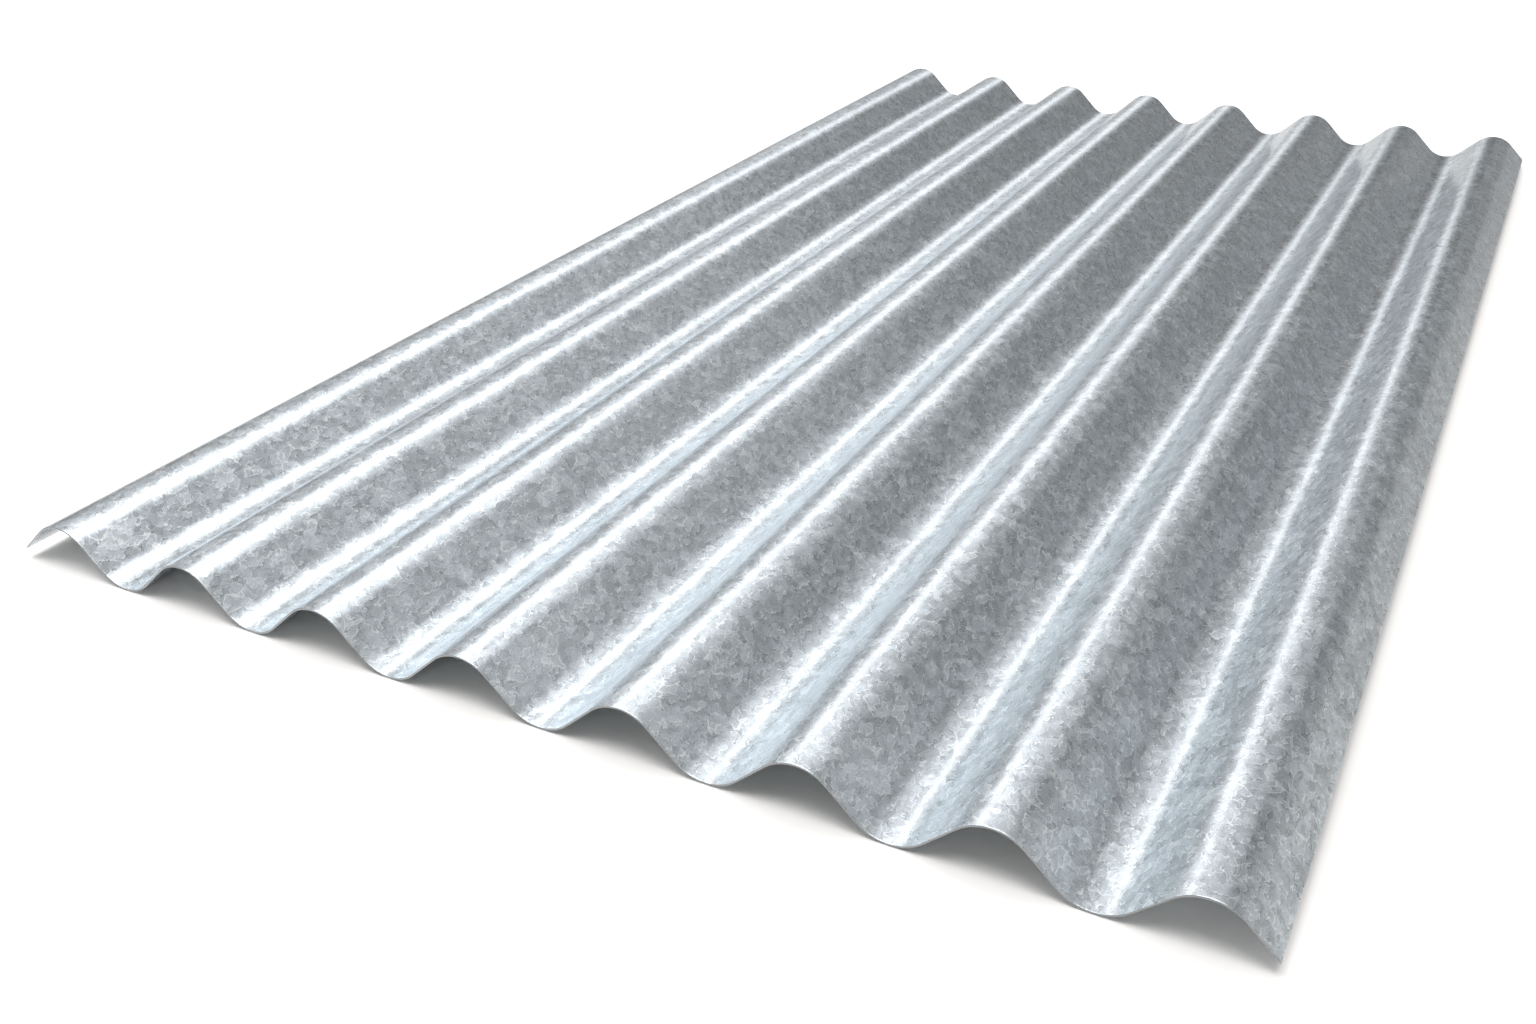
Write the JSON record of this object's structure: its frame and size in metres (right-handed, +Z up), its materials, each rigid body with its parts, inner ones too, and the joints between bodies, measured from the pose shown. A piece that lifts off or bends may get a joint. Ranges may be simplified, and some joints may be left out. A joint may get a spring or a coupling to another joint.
{
  "type": "corrugated metal sheet",
  "caption": "Rectangular thin galvanised steel sheet with round corrugations running along its length and plain square-cut ends, for roofing, cladding and fencing.",
  "frame": {"origin": "on the floor under the centre of the sheet, level with the undersides of its valleys", "axes": "+X across the corrugations, +Y along them, +Z up out of the weather face"},
  "size_m": [0.5842, 1.067, 0.023],
  "materials": {
    "galvanised_steel": "hot-dip galvanised: satin, cool grey, with a fine leafy zinc spangle"
  },
  "bodies": {
    "root": {"corrugated_sheet": "galvanised_steel"}
  },
  "joints": []
}
